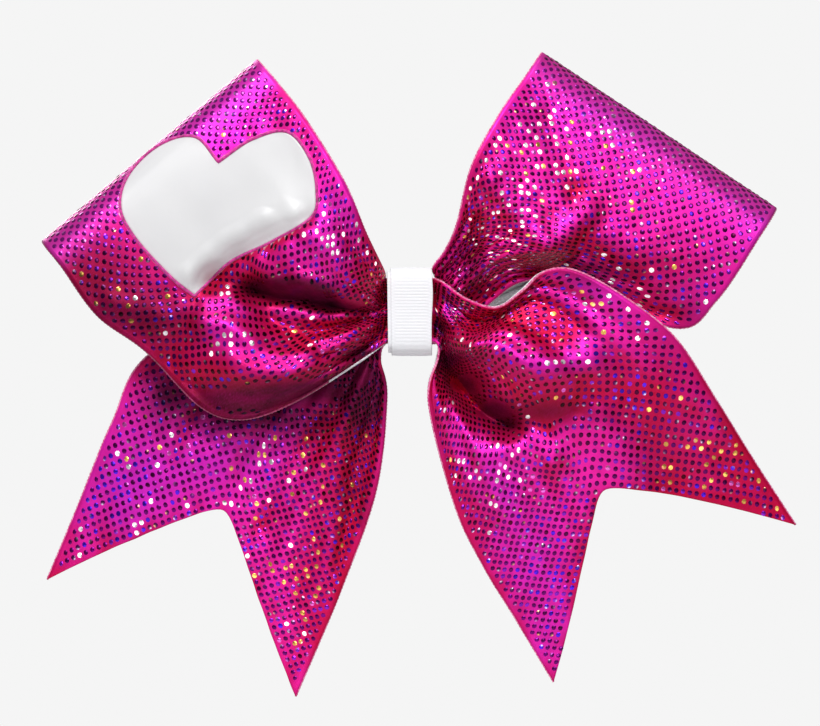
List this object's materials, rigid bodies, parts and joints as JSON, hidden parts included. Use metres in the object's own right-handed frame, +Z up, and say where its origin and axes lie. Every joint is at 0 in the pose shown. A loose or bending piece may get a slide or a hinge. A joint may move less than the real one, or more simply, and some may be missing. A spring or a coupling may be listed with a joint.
{
  "type": "hair bow",
  "caption": "Large ribbon cheer bow with two puffed loops, swallow tails, a heart window and a pleated centre band on a French barrette clip.",
  "frame": {"origin": "middle of the clip arm's outer face, which lies against the head, behind the middle of the centre band", "axes": "+X along the clip towards its hinge, the viewer's right; +Z up; +Y from the bow towards the head, so the bow's face looks along -Y"},
  "size_m": [0.206, 0.0434, 0.1761],
  "materials": {
    "dotted_fabric": "magenta pleated face fabric with rows of small dark and shiny dots",
    "white_grosgrain": "matt ribbed ribbon",
    "band_grosgrain": "matt ribbon with ribs across it and smooth edges",
    "white_panel": "smooth satin",
    "nylon": "natural",
    "hot_glue": "waxy",
    "clip_steel": "nickel plated",
    "spring_steel": "bright spring steel"
  },
  "bodies": {
    "bow": {"left_loop_fabric": "dotted_fabric", "right_loop_fabric": "dotted_fabric", "left_tail_fabric": "dotted_fabric", "right_tail_fabric": "dotted_fabric", "left_loop_backing": "white_grosgrain", "right_loop_backing": "white_grosgrain", "left_tail_backing": "white_grosgrain", "right_tail_backing": "white_grosgrain", "heart_panel": "white_panel", "centre_wrap": "band_grosgrain", "cable_tie": "nylon", "glue_pad": "hot_glue", "clip_plate": "clip_steel", "catch_bracket": "clip_steel", "hinge_pin": "clip_steel", "bar_rivet": "clip_steel", "catch_rivet": "clip_steel"},
    "clip_arm": {"clip_arm": "clip_steel"},
    "tension_bar": {"tension_bar": "spring_steel"},
    "catch_leg_upper": {"catch_leg_upper": "spring_steel"},
    "catch_leg_lower": {"catch_leg_lower": "spring_steel"}
  },
  "joints": [
    {"name": "clip_opening", "type": "hinge", "parent": "bow", "child": "clip_arm", "pos_m": [0.036, -0.0042, 0], "axis": [0, 0, -1], "range_deg": [0, 60]},
    {"name": "tension_flex", "type": "hinge", "parent": "bow", "child": "tension_bar", "pos_m": [0.0285, -0.0107, 0], "axis": [0, 0, -1], "range_deg": [0, 2]},
    {"name": "catch_upper_pinch", "type": "hinge", "parent": "bow", "child": "catch_leg_upper", "pos_m": [-0.036, -0.0098, 0.0023], "axis": [-1, 0, 0], "range_deg": [0, 8], "stiffness_Nm_per_rad": 0.02},
    {"name": "catch_lower_pinch", "type": "hinge", "parent": "bow", "child": "catch_leg_lower", "pos_m": [-0.036, -0.0098, -0.0023], "axis": [1, 0, 0], "range_deg": [0, 8], "stiffness_Nm_per_rad": 0.02}
  ],
  "couplings": [
    {"joint": "tension_flex", "follows": "clip_opening", "ratio": 0.025},
    {"joint": "catch_lower_pinch", "follows": "catch_upper_pinch", "ratio": 1}
  ]
}
